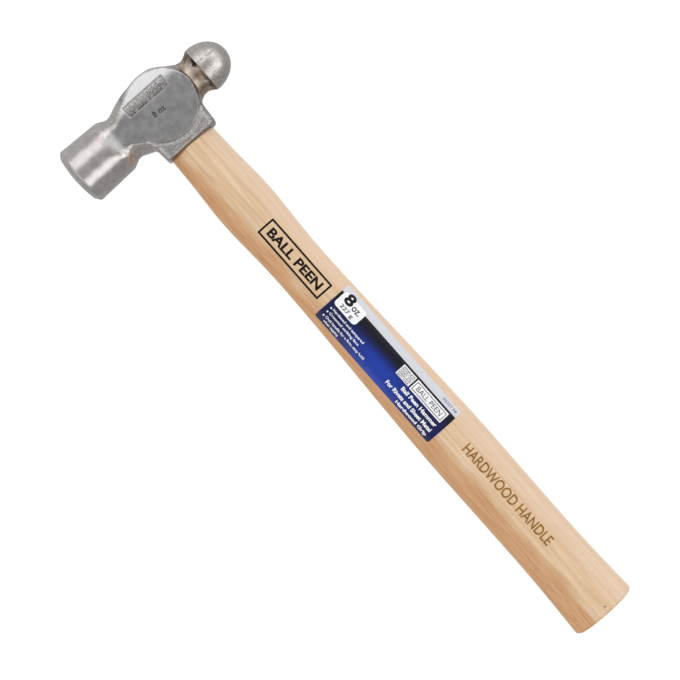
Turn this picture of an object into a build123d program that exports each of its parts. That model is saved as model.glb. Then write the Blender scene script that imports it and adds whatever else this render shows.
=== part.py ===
"""Ball peen hammer, 8 oz (227 g) head on a hickory handle, in millimetres.

The hammer lies on its side. The handle runs along X, with the head at -X and the
butt at +X. The head runs along Y, with the striking face at -Y and the ball at +Y.
The flat cheeks face up and down.

Everything is drawn about the point where the head's axis crosses the handle's axis,
and is moved at the end, so that the origin is the middle of the underside of the
whole hammer's box.
"""

from build123d import *
from math import cos, radians, sin
import os

# ---- head: places along its own axis, measured from the handle's axis ----
FACE_Y = -45.9            # middle of the crowned striking face
BALL_TIP_Y = 35.8
BELL_RADIUS = 12.9        # widest, just behind the chamfer
BELL_BACK_RADIUS = 12.25  # the bell tapers a little towards the neck
BELL_BACK_Y = -24.0
FACE_RADIUS = 10.5        # flat of the face, inside its chamfer
FACE_CROWN = 1.1          # how far the middle of the face stands proud of its rim
FACE_CHAMFER = 1.8        # length of the chamfer along the axis
BELL_NECK_RADIUS = 10.4
BELL_NECK_Y = -19.9
CORE_RADIUS = 14.7        # where the two necks' flares meet inside the eye section
CORE_HALF_LENGTH = 6.4
BALL_RADIUS = 10.3
BALL_MIDDLE_Y = 24.0      # widest place of the ball, which is a little longer than round
BALL_NECK_RADIUS = 8.35
BALL_NECK_Y = 19.0
BALL_SHOULDER_Y = 22.7    # crisp corner where the neck meets the ball

# ---- head: the eye section in the middle ----
CHEEK_HALF = 9.2          # half the thickness between the ground cheeks
CHEEK_ROLL_X = -4.9       # where the cheeks start to roll over to the crown
ROLL_END_X = -8.0         # the roll ends here in a straight slope
ROLL_SLOPE = 0.235        # of that slope, in half thickness per length
DISC_RADIUS = 15.3
DISC_X = 0.6
DISC_Y = 1.0
DISC_EDGE = 0.5           # softened edge round the cheeks
RAMP_START_Y = -21.3      # where the grinding of the cheek runs out on the bell
RAMP_END_Y = -26.5
SKIRT_END_X = 20.1        # lower lip of the eye
SKIRT_Y_MIN = -12.65
SKIRT_Y_MAX = 13.65
SKIRT_HALF = 8.5
SKIRT_CORNER = 3.6
SKIRT_LIP = 1.2           # rounded edge of the lower lip

# ---- eye: an hourglass, half lengths along Y and half widths along Z ----
EYE_BOTTOM = (10.1, 6.5)
EYE_WAIST = (9.4, 5.9)
EYE_TOP = (10.4, 6.3)
EYE_BOTTOM_X = 24.0       # inside the shoulder of the handle
EYE_WAIST_X = 5.0
EYE_TOP_X = DISC_X - DISC_RADIUS - 0.5
WOOD_GAP = 0.03           # each side, between the wood and the eye

# ---- handle: distance from the head's axis and half width at each station ----
SHOULDER_X = 20.5
BUTT_X = 275.7
STATIONS = [
    (SHOULDER_X, 10.85),  # shoulder, under the head
    (34.0, 11.4),
    (50.6, 12.3),         # swell
    (74.7, 11.5),
    (91.6, 11.15),        # throat
    (111.5, 11.55),
    (140.4, 12.5),
    (165.3, 13.25),       # grip
    (189.2, 13.55),
    (224.0, 13.45),
    (247.0, 13.6),
    (263.0, 14.05),       # flare to the butt
    (BUTT_X, 14.6),
]
FLATNESS = 0.69           # thickness of the oval over its width
BUTT_ROUND = 2.2
SHOULDER_ROUND = 0.6

# ---- wedges, driven in from the crown ----
WOOD_WEDGE_TOP = 3.0      # thickness at the crown
WOOD_WEDGE_TIP = 0.8
WOOD_WEDGE_DEPTH = 24.0
STEEL_WEDGE_TOP = 1.9
STEEL_WEDGE_TIP = 0.5
STEEL_WEDGE_DEPTH = 15.0
STEEL_WEDGE_WIDTH = 9.6
STEEL_WEDGE_TURN = 24.0   # degrees away from square across the wood wedge
SAW_KERF_EXTRA = 3.0      # the saw cut goes a little deeper than the wedge
CROWN_SINK = 0.15         # wood and wedges are sanded just below the steel

# ---- label, wrapped round the upper side of the handle ----
LABEL_START_X = 105.9
LABEL_END_X = 175.2
LABEL_Y_MIN = -8.65
LABEL_Y_MAX = 9.8
LABEL_GAP = 0.02
LABEL_THICK = 0.15
LABEL_CORNER = 0.9

CROWN_X = DISC_X - DISC_RADIUS
REACH = 60.0              # larger than the head, for cutting tools


def turned_profile():
    """Bell, both necks and ball, as one turned profile about the Y axis.

    The ball's outline is a quarter ellipse from its widest place to its tip, drawn as a
    spline; its last millimetre is a very flat cone.
    """
    rim_y = FACE_Y + FACE_CROWN
    crown_mid = (0.52 * FACE_RADIUS, rim_y - 0.73 * FACE_CROWN)
    neck_start = (BELL_NECK_RADIUS + 0.3, BELL_NECK_Y - 1.2)
    bell_flare = (CORE_RADIUS, -CORE_HALF_LENGTH)
    ball_flare = (CORE_RADIUS, CORE_HALF_LENGTH)
    shoulder = (BALL_RADIUS - 0.1, BALL_SHOULDER_Y)
    widest = (BALL_RADIUS, BALL_MIDDLE_Y)
    ball_length = BALL_TIP_Y - BALL_MIDDLE_Y
    turns = [radians(degree) for degree in (15, 30, 45, 60, 73, 83)]
    bow = [(BALL_RADIUS * cos(t), BALL_MIDDLE_Y + ball_length * sin(t)) for t in turns]
    with BuildSketch(Plane.XY) as profile:
        with BuildLine():
            ThreePointArc((0, FACE_Y), crown_mid, (FACE_RADIUS, rim_y))
            Polyline(
                (FACE_RADIUS, rim_y),
                (BELL_RADIUS, rim_y + FACE_CHAMFER),
                (BELL_BACK_RADIUS, BELL_BACK_Y),
                neck_start,
            )
            Spline(
                neck_start,
                (BELL_NECK_RADIUS, BELL_NECK_Y),
                (11.5, -16.0),
                (13.0, -12.0),
                bell_flare,
                tangents=[(-0.5, 1.0), (0.35, 1.0)],
            )
            Line(bell_flare, ball_flare)
            Spline(
                ball_flare,
                (12.9, 9.8),
                (9.5, 14.8),
                (BALL_NECK_RADIUS, BALL_NECK_Y),
                shoulder,
                tangents=[(-0.2, 1.0), (0.9, 1.0)],
            )
            Polyline(shoulder, widest)
            Spline(widest, *bow, tangents=[(0.0, 1.0), (-1.0, 0.15)])
            Polyline(bow[-1], (0, BALL_TIP_Y), (0, FACE_Y))
        make_face()
    return revolve(profile.sketch, Axis.Y, 360)


def eye_block():
    """The round middle of the head, seen from the cheek side as a disc."""
    drum = Pos(DISC_X, DISC_Y, 0) * Cylinder(DISC_RADIUS, 2 * CHEEK_HALF)
    return chamfer(drum.edges().filter_by(GeomType.CIRCLE), DISC_EDGE)


def skirt():
    """The lug that carries the eye down the handle, with a rounded lower lip."""
    wide = SKIRT_Y_MAX - SKIRT_Y_MIN
    middle = 0.5 * (SKIRT_Y_MAX + SKIRT_Y_MIN)
    outline = Plane.YZ * Pos(middle, 0) * RectangleRounded(wide, 2 * SKIRT_HALF, SKIRT_CORNER)
    lug = extrude(outline, amount=SKIRT_END_X)
    lip = lug.edges().group_by(Axis.X)[-1]
    return fillet(lip, SKIRT_LIP)


def cheek_cutters():
    """Everything outside the ground cheeks, with their ramps on the bell and roll to the crown."""
    rise = DISC_RADIUS + 1.0
    slope = (BELL_BACK_RADIUS - CHEEK_HALF) / (RAMP_START_Y - RAMP_END_Y)
    top_y = RAMP_START_Y - (rise - CHEEK_HALF) / slope
    ramp = Polyline(
        (REACH, CHEEK_HALF), (RAMP_START_Y, CHEEK_HALF), (top_y, rise), (REACH, rise), close=True
    )
    far_x = CROWN_X - 1.0
    roll_length = CHEEK_ROLL_X - ROLL_END_X
    end_z = CHEEK_HALF - 0.5 * ROLL_SLOPE * roll_length
    far_z = end_z - ROLL_SLOPE * (ROLL_END_X - far_x)
    middle = (0.5 * (CHEEK_ROLL_X + ROLL_END_X), CHEEK_HALF - 0.125 * ROLL_SLOPE * roll_length)
    with BuildSketch(Plane.XZ) as roll:
        with BuildLine():
            ThreePointArc((CHEEK_ROLL_X, CHEEK_HALF), middle, (ROLL_END_X, end_z))
            Polyline(
                (ROLL_END_X, end_z), (far_x, far_z), (far_x, rise),
                (CHEEK_ROLL_X, rise), (CHEEK_ROLL_X, CHEEK_HALF),
            )
        make_face()
    tool = extrude(Plane.YZ * make_face(ramp), amount=REACH, both=True)
    tool = tool + extrude(roll.sketch, amount=-RAMP_START_Y, both=True)
    ball_end = BALL_SHOULDER_Y - 2.0
    keep = Pos(0, ball_end + REACH, 0) * Box(4 * REACH, 2 * REACH, 4 * REACH)
    tool = tool - keep
    return tool + mirror(tool, Plane.XY)


def eye_hole(gap):
    """The hourglass eye, shrunk by gap on every side; long enough to pass right through."""
    stations = [
        (EYE_BOTTOM_X, EYE_BOTTOM),
        (EYE_WAIST_X, EYE_WAIST),
        (EYE_TOP_X, EYE_TOP),
    ]
    sections = [
        Plane(origin=(x, 0, 0), x_dir=(0, 1, 0), z_dir=(1, 0, 0)) * Ellipse(half[0] - gap, half[1] - gap)
        for x, half in stations
    ]
    return loft(sections)


def hammer_head():
    """Forged steel head: bell, neck, eye section, neck and ball in one piece."""
    body = turned_profile() + eye_block() + skirt()
    return body - cheek_cutters() - eye_hole(0.0)


def below_crown(sink):
    """Everything under the drum-shaped crown, whose curve the sanded wood follows."""
    radius = DISC_RADIUS - sink
    drum = Pos(DISC_X, DISC_Y, 0) * Cylinder(radius, REACH)
    return drum + Pos(DISC_X + 0.5 * REACH, DISC_Y, 0) * Box(REACH, 2 * radius, REACH)


def tapered_plate(top, tip, depth, width):
    """A wedge, thick at the crown and thin at its tip, wide along Y."""
    start = CROWN_X - 1.0
    slope = (top - tip) / depth
    thick = top + slope
    outline = Polyline(
        (start, 0.5 * thick), (CROWN_X + depth, 0.5 * tip),
        (CROWN_X + depth, -0.5 * tip), (start, -0.5 * thick), close=True,
    )
    return extrude(Plane.XZ * make_face(outline), amount=0.5 * width, both=True)


def steel_wedge():
    """Driven across the wood wedge, a little askew."""
    plate = tapered_plate(STEEL_WEDGE_TOP, STEEL_WEDGE_TIP, STEEL_WEDGE_DEPTH, STEEL_WEDGE_WIDTH)
    plate = Rot(90 - STEEL_WEDGE_TURN, 0, 0) * plate
    return plate & below_crown(CROWN_SINK)


def wood_wedge():
    """Fills the saw cut along the eye, notched where the steel wedge crosses it."""
    plate = tapered_plate(WOOD_WEDGE_TOP, WOOD_WEDGE_TIP, WOOD_WEDGE_DEPTH, REACH)
    return (plate & eye_hole(WOOD_GAP) & below_crown(CROWN_SINK)) - steel_wedge()


def handle_sections(grow):
    """Ovals at the handle's stations, grown by a margin on every side."""
    return [
        Plane(origin=(x, 0, 0), x_dir=(0, 1, 0), z_dir=(1, 0, 0))
        * Ellipse(half + grow, FLATNESS * half + grow)
        for x, half in STATIONS
    ]


def handle():
    """Hickory handle with a tenon through the eye and a saw cut for the wedge."""
    shaft = loft(handle_sections(0.0))
    shaft = fillet(shaft.edges().sort_by(Axis.X)[-1], BUTT_ROUND)
    shaft = chamfer(shaft.edges().sort_by(Axis.X)[0], SHOULDER_ROUND)
    tenon = eye_hole(WOOD_GAP) & below_crown(CROWN_SINK)
    kerf = Pos(CROWN_X + 0.5 * (WOOD_WEDGE_DEPTH + SAW_KERF_EXTRA), 0, 0) * Box(
        WOOD_WEDGE_DEPTH + SAW_KERF_EXTRA, REACH, WOOD_WEDGE_TIP
    )
    plate = tapered_plate(WOOD_WEDGE_TOP, WOOD_WEDGE_TIP, WOOD_WEDGE_DEPTH, REACH)
    slotted = tenon - kerf - plate - steel_wedge()
    return shaft + slotted


def label():
    """Thin printed label that lies on the handle like a skin."""
    shell = loft(handle_sections(LABEL_GAP + LABEL_THICK)) - loft(handle_sections(LABEL_GAP))
    long = LABEL_END_X - LABEL_START_X
    wide = LABEL_Y_MAX - LABEL_Y_MIN
    middle = (0.5 * (LABEL_START_X + LABEL_END_X), 0.5 * (LABEL_Y_MIN + LABEL_Y_MAX))
    outline = Pos(middle[0], middle[1]) * RectangleRounded(long, wide, LABEL_CORNER)
    return shell & extrude(outline, amount=REACH)


def main():
    """Moves every piece from the axes' crossing to the underside's middle and writes it."""
    pieces = {
        "hammer_head": hammer_head(),
        "handle": handle(),
        "wooden_wedge": wood_wedge(),
        "steel_wedge": steel_wedge(),
        "label": label(),
    }
    middle_x = 0.5 * (CROWN_X + BUTT_X)
    middle_y = 0.5 * (FACE_Y + BALL_TIP_Y)
    os.makedirs("parts", exist_ok=True)
    for name, shape in pieces.items():
        placed = Pos(-middle_x, -middle_y, BELL_RADIUS) * shape
        placed.label = name
        export_step(placed, f"parts/{name}.step")
        print(name, round(placed.volume, 1), placed.bounding_box())


main()
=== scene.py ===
"""Looks of a light ball peen hammer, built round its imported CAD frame.

Lengths are millimetres about the point where the head's axis crosses the handle's, until
to_frame() turns them into the frame's metres. X runs from the head to the butt, Y from
the striking face to the ball, and Z up, square to the cheeks.
"""

import math
from contextlib import contextmanager
from functools import partial

import bmesh
import bpy
import numpy as np
from mathutils import Matrix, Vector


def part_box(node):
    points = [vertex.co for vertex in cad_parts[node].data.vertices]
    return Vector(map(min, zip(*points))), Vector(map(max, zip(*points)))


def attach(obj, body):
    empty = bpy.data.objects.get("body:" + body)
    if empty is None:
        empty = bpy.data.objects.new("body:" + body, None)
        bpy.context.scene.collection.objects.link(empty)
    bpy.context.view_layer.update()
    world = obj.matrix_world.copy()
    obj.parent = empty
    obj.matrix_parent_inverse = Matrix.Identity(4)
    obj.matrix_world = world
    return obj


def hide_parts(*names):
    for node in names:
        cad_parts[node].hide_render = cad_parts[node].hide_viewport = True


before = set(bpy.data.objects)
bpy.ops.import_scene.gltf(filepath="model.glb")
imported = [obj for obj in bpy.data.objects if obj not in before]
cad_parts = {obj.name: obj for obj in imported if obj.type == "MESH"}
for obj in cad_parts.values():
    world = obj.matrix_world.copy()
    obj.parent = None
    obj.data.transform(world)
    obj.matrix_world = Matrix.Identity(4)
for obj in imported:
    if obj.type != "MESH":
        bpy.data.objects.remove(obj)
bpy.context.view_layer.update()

# ---- head: places along its axis and radii about it ----
FACE_Y = -45.9
FACE_RADIUS = 10.5
FACE_CROWN = 1.1
CHAMFER_Y = -43.0
BELL_RADIUS = 12.9
BELL_BACK_Y = -24.0
BELL_BACK_RADIUS = 12.25
BELL_FLARE = ((-21.1, 10.7), (-19.9, 10.4), (-16.0, 11.5), (-12.0, 13.0), (-6.4, 14.7))
BALL_FLARE = ((6.4, 14.7), (9.8, 12.9), (14.8, 9.5), (19.0, 8.3), (22.7, 10.2))
BALL_SHOULDER_Y = 22.7
BALL_MIDDLE_Y = 24.0
BALL_TIP_Y = 35.8
BALL_RADIUS = 10.3

# ---- head: the eye section ----
DISC_X = 0.6
DISC_Y = 1.0
DISC_RADIUS = 15.3
CROWN_X = DISC_X - DISC_RADIUS
CHEEK_HALF = 9.2
CHEEK_ROLL_X = -4.9
ROLL_LENGTH = 3.1
ROLL_SLOPE = 0.235
RAMP_START_Y = -19.8
RAMP_LENGTH = 3.0
RAMP_SLOPE = 0.58
CHEEK_END_Y = 20.4
SKIRT_END_X = 20.1
SKIRT_MID_Y = 0.5
SKIRT_HALF_Y = 13.15
SKIRT_HALF_Z = 8.5
SKIRT_CORNER = 3.6
SKIRT_LIP = 1.2
EYE_STATIONS_X = (-15.2, 5.0, 24.0)
EYE_HALF_Y = (10.4, 9.4, 10.1)
EYE_HALF_Z = (6.3, 5.9, 6.5)
HEAD_VOXEL = 0.34

# ---- stamped marks; each box is its lowest and highest x, then its lowest and highest y ----
CARTOUCHE = (-8.6, -3.1, -12.3, 9.0)
CARTOUCHE_DEPTH = 0.42
LETTER_MARGINS = (0.6, 0.8)
WEIGHT_STAMP = (0.9, 3.5, -4.5, 1.5)
WEIGHT_DEPTH = 0.3
STAMP_DRAFT = 0.22
PUNCH_BEVEL = 0.028

# ---- head: where one finish gives way to another, and the slots of the finishes ----
BELL_NECK_Y = -23.4
DRUM_START_Y = -11.0
CROWN_ROLL_X = -3.0
UPPER_SIDE_Z = 7.0
TURNED_SLOT, GROUND_SLOT, FORGED_SLOT, BELT_SLOT, OXIDE_SLOT = range(5)

# ---- unevenness of the steel: height, size and seed of its lumps ----
COARSE_DENTS = (0.03, 2.4, 3)
FINE_DENTS = (0.025, 1.1, 4)
BALL_WAVES = (0.028, 4.5, 6)
CHEEK_WAVES = (0.01, 8.0, 5)

# ---- marks of the grinding, and flaws of the forging: place and radius or half lengths ----
RIDGE_HEIGHT = 0.3
GROOVE_DEPTH = 0.26
SEAM_DEPTH = 0.24
NICK_AT, NICK_RADIUS = (18.0, -13.2, 1.5), 1.25
PIT_AT, PIT_HALVES = (-2.1, 29.4, 9.25), (0.7, 1.3, 0.8)

# ---- handle ----
SHOULDER_X = 20.5
BUTT_X = 275.7
STATIONS_X = (
    SHOULDER_X, 34.0, 50.6, 74.7, 91.6, 111.5, 140.4, 165.3, 189.2, 224.0, 247.0, 263.0, BUTT_X
)
STATIONS_HALF_Y = (
    10.85, 11.4, 12.3, 11.5, 11.15, 11.55, 12.5, 13.25, 13.55, 13.45, 13.6, 14.05, 14.6
)
FLATNESS = 0.69
BUTT_ROUND = 2.0
SHOULDER_ROUND = 0.6
SANDING_WAVE = 0.045
WOOD_GAP = 0.03
CROWN_SINK = 0.15
PIN_KNOT = (272.4, 1.3, 9.5)

# ---- wedges: thickness at the crown and tip, depth, width, degrees of turn ----
WOOD_WEDGE = (3.0, 0.8, 24.0, 40.0, 0.0)
STEEL_WEDGE = (1.9, 0.5, 15.0, 9.6, 66.0)
KERF_EXTRA = 3.0

# ---- label ----
LABEL_X = (105.9, 175.2)
LABEL_Y = (-8.65, 9.8)
LABEL_CORNER = 0.9
LABEL_LIFT = 0.15
LABEL_BED = -0.05
BLUE_EDGE_Y = 6.4

# ---- printing: how the ink lies, and the pitch of its strips along and across ----
INK_THICKNESS = 0.02
STRIP_PITCHES = (2.5, 0.45)
FRAME_BOX = (65.3, 101.9, -3.95, 4.6)
WOOD_INK_LIFT = 0.01
LABEL_INK_LIFT = LABEL_LIFT + 0.005
WOOD_GRAIN = (0.05, 2.0, 2.0)
FILM_GRAIN = (0.2, 0.2, 0.2)

head_low, head_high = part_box("hammer_head")
middle_z = (head_low.z + head_high.z) / 2
ORIGIN = 1000 * np.array([head_low.x, head_low.y, middle_z]) - [CROWN_X, FACE_Y, 0]


def to_frame(points):
    """Millimetres about the crossing of the axes, as the frame's metres."""
    return (np.asarray(points, float) + ORIGIN) / 1000.0


def from_frame(points):
    """The frame's metres, as millimetres about the crossing of the axes."""
    return np.asarray(points, float) * 1000.0 - ORIGIN


# ======== meshes ========


def new_piece(name, mesh, material=None, node_slot=None):
    """A mesh object in the scene, at the origin; given a node slot, it rides on the hammer's one
    body.
    """
    piece = bpy.data.objects.new(name, mesh)
    bpy.context.scene.collection.objects.link(piece)
    if material is not None:
        mesh.materials.clear()
        mesh.materials.append(material)
    if node_slot is not None:
        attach(piece, "root")
    return piece


def mesh_of(name, points, faces):
    """A mesh from millimetre points and faces."""
    mesh = bpy.data.meshes.new(name)
    mesh.from_pydata(to_frame(points).tolist(), [], [tuple(face) for face in faces])
    mesh.validate()
    return mesh


def shade_smooth(mesh, degrees):
    """Shades a mesh smooth, except at folds sharper than some degrees."""
    mesh.polygons.foreach_set("use_smooth", np.ones(len(mesh.polygons), bool))
    mesh.set_sharp_from_angle(angle=math.radians(degrees))


def coordinates(mesh):
    """All vertices of a mesh as one array, in metres."""
    flat = np.empty(len(mesh.vertices) * 3, np.float32)
    mesh.vertices.foreach_get("co", flat)
    return flat.reshape(-1, 3).astype(float)


def set_coordinates(mesh, points):
    """Writes all vertices of a mesh from one array, in metres."""
    mesh.vertices.foreach_set("co", np.asarray(points, np.float32).ravel())
    mesh.update()


@contextmanager
def edited(mesh):
    """Opens a mesh for editing, and writes the result back to it."""
    shell = bmesh.new()
    shell.from_mesh(mesh)
    yield shell
    shell.to_mesh(mesh)
    shell.free()


def merged_copy(node):
    """A copy of a CAD node's mesh with its loose triangles joined at their corners."""
    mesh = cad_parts[node].data.copy()
    with edited(mesh) as shell:
        bmesh.ops.remove_doubles(shell, verts=shell.verts, dist=1e-7)
    return mesh


def finished(piece):
    """The mesh of a piece or of lettering, with modifiers worked in; the piece itself goes."""
    graph = bpy.context.evaluated_depsgraph_get()
    mesh = bpy.data.meshes.new_from_object(piece.evaluated_get(graph))
    bpy.data.objects.remove(piece)
    return mesh


def cut(mesh, tool, operation="DIFFERENCE"):
    """The mesh with a closed tool mesh cut out of it, joined to it, or kept in common."""
    body = new_piece("cut_body", mesh)
    cutter = new_piece("cut_tool", tool)
    step = body.modifiers.new("cut", "BOOLEAN")
    step.operation = operation
    step.solver = "MANIFOLD"
    step.object = cutter
    result = finished(body)
    bpy.data.objects.remove(cutter)
    return result


def grid_faces(rows, columns):
    """Quads of a tube of rows by columns points, closed round the columns."""
    row = np.arange(rows - 1)[:, None] * columns
    col = np.arange(columns)[None, :]
    nxt = (col + 1) % columns
    quads = np.stack([row + col, row + nxt, row + columns + nxt, row + columns + col], axis=-1)
    return quads.reshape(-1, 4)


def lumps(points, height, size, seed):
    """Smooth noise of some height: the sum of 24 plane waves in seeded directions."""
    waves = 24
    dice = np.random.default_rng(seed)
    directions = dice.normal(size=(waves, 3))
    directions /= np.linalg.norm(directions, axis=1)[:, None]
    pitch = 2 * math.pi / (size * dice.uniform(0.7, 1.5, waves))
    phase = dice.uniform(0, 2 * math.pi, waves)
    scaled = points @ (directions * pitch[:, None]).T + phase
    return height * np.sin(scaled).sum(axis=1) * math.sqrt(2.0 / waves)


def smooth_step(low, high, value):
    """0 below low, 1 above high, and an S-curve between them."""
    t = np.clip((value - low) / (high - low), 0, 1)
    return t * t * (3 - 2 * t)


# ======== head shape ========


def blend_min(a, b, k):
    """Union of two fields: the lower one, with a fillet about k wide where they meet."""
    h = np.clip(0.5 + 0.5 * (b - a) / k, 0, 1)
    return b + (a - b) * h - k * h * (1 - h)


def blend_max(a, b, k):
    """Common part of two fields: the higher one, with an edge rounded about k wide."""
    return -blend_min(-a, -b, k)


def curve_through(knots, x):
    """The natural cubic spline through some (x, y) knots, flat beyond its ends."""
    knots_x, knots_y = np.array(knots).T
    gaps = np.diff(knots_x)
    system = np.eye(len(knots_x))
    right_side = np.zeros(len(knots_x))
    for row in range(1, len(knots_x) - 1):
        before, after = gaps[row - 1], gaps[row]
        system[row, row - 1 : row + 2] = (before, 2 * (before + after), after)
        rise = np.diff(knots_y[row - 1 : row + 2]) / gaps[row - 1 : row + 1]
        right_side[row] = 6 * (rise[1] - rise[0])
    bend = np.linalg.solve(system, right_side)
    x = np.clip(x, knots_x[0], knots_x[-1])
    right = np.clip(np.searchsorted(knots_x, x), 1, len(knots_x) - 1)
    left = right - 1
    gap = knots_x[right] - knots_x[left]
    a = (knots_x[right] - x) / gap
    b = 1 - a
    bow = (a**3 - a) * bend[left] + (b**3 - b) * bend[right]
    return a * knots_y[left] + b * knots_y[right] + bow * gap**2 / 6


def turned_outline():
    """Points (y, radius) of the turned profile, from the face's middle to the ball's tip.

    The face is a parabola, the bell straight lines, the flares of both necks splines, and
    the ball a short straight land and a quarter ellipse.
    """
    face_r = np.linspace(0, FACE_RADIUS, 8)
    face = np.stack([FACE_Y + FACE_CROWN * (face_r / FACE_RADIUS) ** 2, face_r], axis=1)
    bell = np.array(
        [
            (CHAMFER_Y - 0.35, BELL_RADIUS - 0.38),
            (CHAMFER_Y - 0.05, BELL_RADIUS - 0.1),
            (CHAMFER_Y + 0.45, BELL_RADIUS),
            (BELL_BACK_Y - 0.5, BELL_BACK_RADIUS + 0.02),
            (BELL_BACK_Y + 0.1, BELL_BACK_RADIUS - 0.12),
        ]
    )
    flares = []
    for knots in (BELL_FLARE, BALL_FLARE):
        y = np.linspace(knots[0][0], knots[-1][0], 22)
        flares.append(np.stack([y, curve_through(knots, y)], axis=1))
    turn = np.linspace(0, math.pi / 2, 19)
    ball_y = BALL_MIDDLE_Y + (BALL_TIP_Y - BALL_MIDDLE_Y) * np.sin(turn)
    ball = np.stack([ball_y, BALL_RADIUS * np.cos(turn)], axis=1)
    return np.concatenate([face, bell, *flares, ball])


def outline_distance(outline, along, radius):
    """Signed distance of each point to a closed outline, whose last side lies on the axis."""
    best = np.full(len(along), 1e9)
    inside = np.zeros(len(along), bool)
    ends = np.roll(outline, -1, axis=0)
    for side, ((ay, ar), (by, br)) in enumerate(zip(outline, ends)):
        dy, dr = by - ay, br - ar
        if side < len(outline) - 1:
            t = ((along - ay) * dy + (radius - ar) * dr) / (dy * dy + dr * dr)
            t = np.clip(t, 0, 1)
            best = np.minimum(best, (along - ay - t * dy) ** 2 + (radius - ar - t * dr) ** 2)
        crosses = (ar > radius) != (br > radius)
        reach = ay + (radius - ar) * dy / np.where(dr == 0, 1, dr)
        inside ^= crosses & (along < reach)
    return np.where(inside, -1, 1) * np.sqrt(best)


TURNED = turned_outline()


def past_disc(x, y):
    """Distance outside the round disc of the eye section."""
    return np.hypot(x - DISC_X, y - DISC_Y) - DISC_RADIUS


def in_box(x, y, box, soft):
    """1 inside a box (low x, high x, low y, high y), 0 outside, with soft edges."""
    low_x, high_x, low_y, high_y = box
    across = smooth_step(low_x, low_x + soft, x) * smooth_step(-high_x, soft - high_x, -x)
    return across * smooth_step(low_y, low_y + soft, y) * smooth_step(-high_y, soft - high_y, -y)


def eased(past, length):
    """A parabola over some length that runs on as a straight line of slope one."""
    past = np.clip(past, 0, None)
    return np.where(past < length, past**2 / (2 * length), past - length / 2)


def cheek_height(x, y, z):
    """Half thickness left by the grinding.

    It is flat, rolls off along a parabola into a straight slope towards the crown, rises the
    same way where it runs out on the bell, and sinks in the cartouche on the upper side.
    """
    roll = eased(CHEEK_ROLL_X - x, ROLL_LENGTH)
    ramp = RAMP_SLOPE * eased(RAMP_START_Y - y, RAMP_LENGTH)
    to_ball = 4.0 * np.clip(y - CHEEK_END_Y, 0, None)
    stamped = CARTOUCHE_DEPTH * in_box(x, y, CARTOUCHE, 0.35) * (z > 0)
    return CHEEK_HALF - ROLL_SLOPE * roll + ramp + to_ball - stamped


def skirt_field(x, y, z):
    """Distance to the eye's lug: a rounded rectangle drawn along X, with a rounded lip."""
    draft = 0.07 * (x - 14.0)
    out_y = np.abs(y - SKIRT_MID_Y) - (SKIRT_HALF_Y - SKIRT_CORNER) + draft
    out_z = np.abs(z) - (SKIRT_HALF_Z - SKIRT_CORNER)
    ring = np.hypot(np.maximum(out_y, 0), np.maximum(out_z, 0)) - SKIRT_CORNER
    ring = ring + np.minimum(np.maximum(out_y, out_z), 0) + SKIRT_LIP
    end = x - SKIRT_END_X + SKIRT_LIP
    corner = np.hypot(np.maximum(ring, 0), np.maximum(end, 0))
    lug = corner + np.minimum(np.maximum(ring, end), 0) - SKIRT_LIP
    return np.maximum(lug, -x)


def eye_halves(x):
    """Half length and half width of the hourglass eye: parabolas through three stations."""
    along = np.polyval(np.polyfit(EYE_STATIONS_X, EYE_HALF_Y, 2), x)
    across = np.polyval(np.polyfit(EYE_STATIONS_X, EYE_HALF_Z, 2), x)
    return along, across


def flaws(points):
    """Distance to a round nick in the lug's corner and to an oval forging pit in the ball."""
    nick = np.linalg.norm(points - NICK_AT, axis=1) - NICK_RADIUS
    pit = np.linalg.norm((points - PIT_AT) / PIT_HALVES, axis=1) - 1
    return np.minimum(nick, min(PIT_HALVES) * pit)


def head_field(points):
    """Below zero inside the steel, above zero outside.

    The turned profile, the drum and the lug run together with fillets; the cheeks are ground
    flat on all three, with an edge that is softer towards the crown; the eye is cut through.
    """
    x, y, z = points.T
    turned = outline_distance(TURNED, y, np.hypot(x, z))
    body = blend_min(turned, past_disc(x, y), 1.2)
    body = blend_min(body, skirt_field(x, y, z), 1.4)
    ground = (np.abs(z) - cheek_height(x, y, z)) * 0.95
    soft = np.maximum(smooth_step(2.0, 9.0, -x), smooth_step(19.0, 23.0, -y))
    body = blend_max(body, ground, 0.35 + 1.2 * soft)
    along, across = eye_halves(x)
    eye = (np.hypot(y / along, z / across) - 1) * across
    return blend_max(blend_max(body, -eye, 0.5), -flaws(points), 0.3)


def settle(points, field, rounds=4, reach=0.02):
    """Moves points onto the field's zero surface with Newton steps along its gradient."""
    for _ in range(rounds):
        value = field(points)
        slope = np.empty_like(points)
        for axis in range(3):
            step = np.zeros(3)
            step[axis] = reach
            slope[:, axis] = (field(points + step) - field(points - step)) / (2 * reach)
        steep = np.maximum((slope**2).sum(axis=1), 0.25)
        points = points - slope * np.clip(value / steep, -0.3, 0.3)[:, None]
    return points, slope / np.linalg.norm(slope, axis=1)[:, None]


def ground_share(points):
    """1 on the ground cheeks and their ramps, 0 elsewhere on the head."""
    x, y, z = points.T
    level = np.abs(z) - cheek_height(x, y, z)
    return smooth_step(-0.22, -0.08, level) * (y < CHEEK_END_Y - 1) * (y > -27.5)


def forged_share(points):
    """1 where the forging skin is left rough: the skirt and the ball's neck."""
    x, y, z = points.T
    rough = smooth_step(-12.0, -8.0, y) * smooth_step(-23.5, -22.3, -y)
    return rough * (1 - ground_share(points))


def grinding_ridge(points):
    """Height of the ridge and groove left on the skirt, two bell curves round the disc's edge."""
    x, y, z = points.T
    away = past_disc(x, y)
    ridge = RIDGE_HEIGHT * np.exp(-(((away - 1.6) / 0.45) ** 2))
    groove = GROOVE_DEPTH * np.exp(-(((away - 0.7) / 0.35) ** 2))
    return (ridge - groove) * smooth_step(7.0, 10.0, x) * smooth_step(5.0, 7.0, np.abs(z))


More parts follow.
